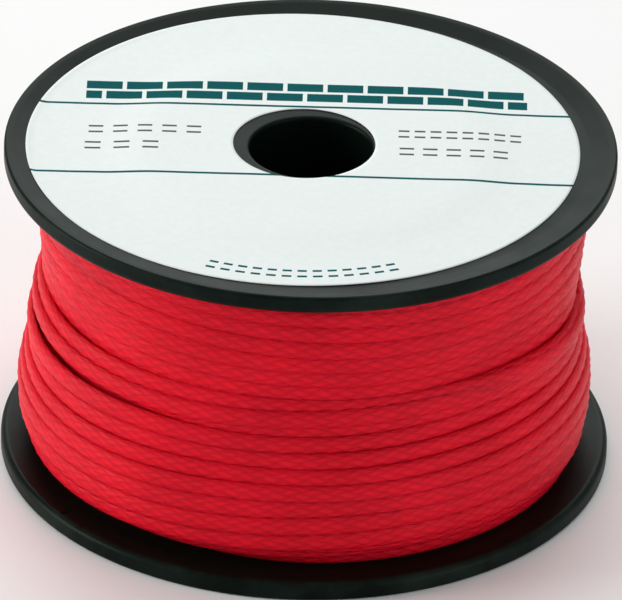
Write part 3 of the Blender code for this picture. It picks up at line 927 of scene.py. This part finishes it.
# the paper's hole and its outer edge were cut with slightly different middles
label_share = (label_radii[:, None] - LABEL_HOLE) / (LABEL_RADIUS - LABEL_HOLE)
label_middle = HOLE_CENTRE + (LABEL_CENTRE - HOLE_CENTRE) * label_share
label_x = label_middle[:, :1] + label_radii[:, None] * np.cos(label_angles)
label_y = label_middle[:, 1:] + label_radii[:, None] * np.sin(label_angles)
label_z = label_top(label_x, label_y)
label_z[LABEL_RINGS:] -= LABEL_THICKNESS
label_points = np.stack([label_x, label_y, label_z], axis=-1).reshape(-1, 3)
label = mesh_object("paper_label", label_points, ring_faces(2 * LABEL_RINGS, LABEL_STEPS)[:, ::-1],
                    printed_paper())
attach(label, "root")
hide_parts("upper_label")

# --- Studio ----------------------------------------------------------------------------
# Pale floor and pale surroundings, a soft light from the left, weaker ones from the front and
# the right, wide ones from behind and above, and a long lens from a little above the spool.
SPOOL_MIDDLE = np.array((0.0, 0.0, SPOOL_HEIGHT / 2))
TARGET = np.array((0.52 * MM, 0.0, 23.29 * MM))
DISTANCE = 1.755
ELEVATION = math.radians(29.93)
ROLL = math.radians(1.394)
FOCAL_LENGTH = 728.8

floor_mesh = bpy.data.meshes.new("floor")
floor_mesh.from_pydata([(-3, -3, 0), (3, -3, 0), (3, 3, 0), (-3, 3, 0)], [], [(0, 1, 2, 3)])
floor = bpy.data.objects.new("floor", floor_mesh)
bpy.context.scene.collection.objects.link(floor)
paint, _, shader = new_material("matt_white_floor")
shader.inputs["Base Color"].default_value = linear("#f4f4f4")
shader.inputs["Roughness"].default_value = 0.9
floor_mesh.materials.append(paint)

world = bpy.data.worlds.new("pale_room")
world.use_nodes = True
world.node_tree.nodes["Background"].inputs["Color"].default_value = (1.0, 1.0, 1.0, 1.0)
world.node_tree.nodes["Background"].inputs["Strength"].default_value = 0.22
bpy.context.scene.world = world


def area_light(name, place, size, power, colour):
    """Square lamp at place, aimed at the middle of the spool."""
    lamp = bpy.data.lights.new(name, "AREA")
    lamp.size = size
    lamp.energy = power
    lamp.color = colour
    made = bpy.data.objects.new(name, lamp)
    made.location = place
    bpy.context.scene.collection.objects.link(made)
    bpy.context.view_layer.update()
    toward = SPOOL_MIDDLE - np.array(place)
    made.rotation_euler = mathutils.Vector(toward).to_track_quat("-Z", "Y").to_euler()
    return made


area_light("left_softbox", (-0.72, 0.00, 0.24), 0.40, 3.8, (1.0, 0.98, 0.95))
area_light("front_softbox", (-0.55, -0.85, 0.45), 0.80, 0.9, (1.0, 1.0, 1.0))
area_light("right_softbox", (0.62, -0.45, 0.26), 0.60, 2.0, (1.0, 1.0, 1.0))
area_light("back_softbox", (0.0, 1.10, 0.62), 0.90, 6.0, (0.96, 1.0, 0.98))
area_light("top_softbox", (0.0, 0.20, 0.80), 0.60, 2.9, (0.97, 1.0, 1.0))
bpy.context.scene.view_settings.view_transform = "Standard"

lens = bpy.data.cameras.new("camera")
lens.lens = FOCAL_LENGTH
lens.sensor_width = 36.0
lens.clip_start = 0.05
lens.clip_end = 20.0
camera = bpy.data.objects.new("camera", lens)
bpy.context.scene.collection.objects.link(camera)
place = np.array((0.0, -math.cos(ELEVATION), math.sin(ELEVATION))) * DISTANCE + SPOOL_MIDDLE
forward = TARGET - place
forward /= np.linalg.norm(forward)
right = np.cross(forward, (0.0, 0.0, 1.0))
right /= np.linalg.norm(right)
up = np.cross(right, forward)
rolled_right = math.cos(ROLL) * right + math.sin(ROLL) * up
rolled_up = -math.sin(ROLL) * right + math.cos(ROLL) * up
camera.matrix_world = mathutils.Matrix((
    (rolled_right[0], rolled_up[0], -forward[0], place[0]),
    (rolled_right[1], rolled_up[1], -forward[1], place[1]),
    (rolled_right[2], rolled_up[2], -forward[2], place[2]),
    (0.0, 0.0, 0.0, 1.0)))
bpy.context.scene.camera = camera
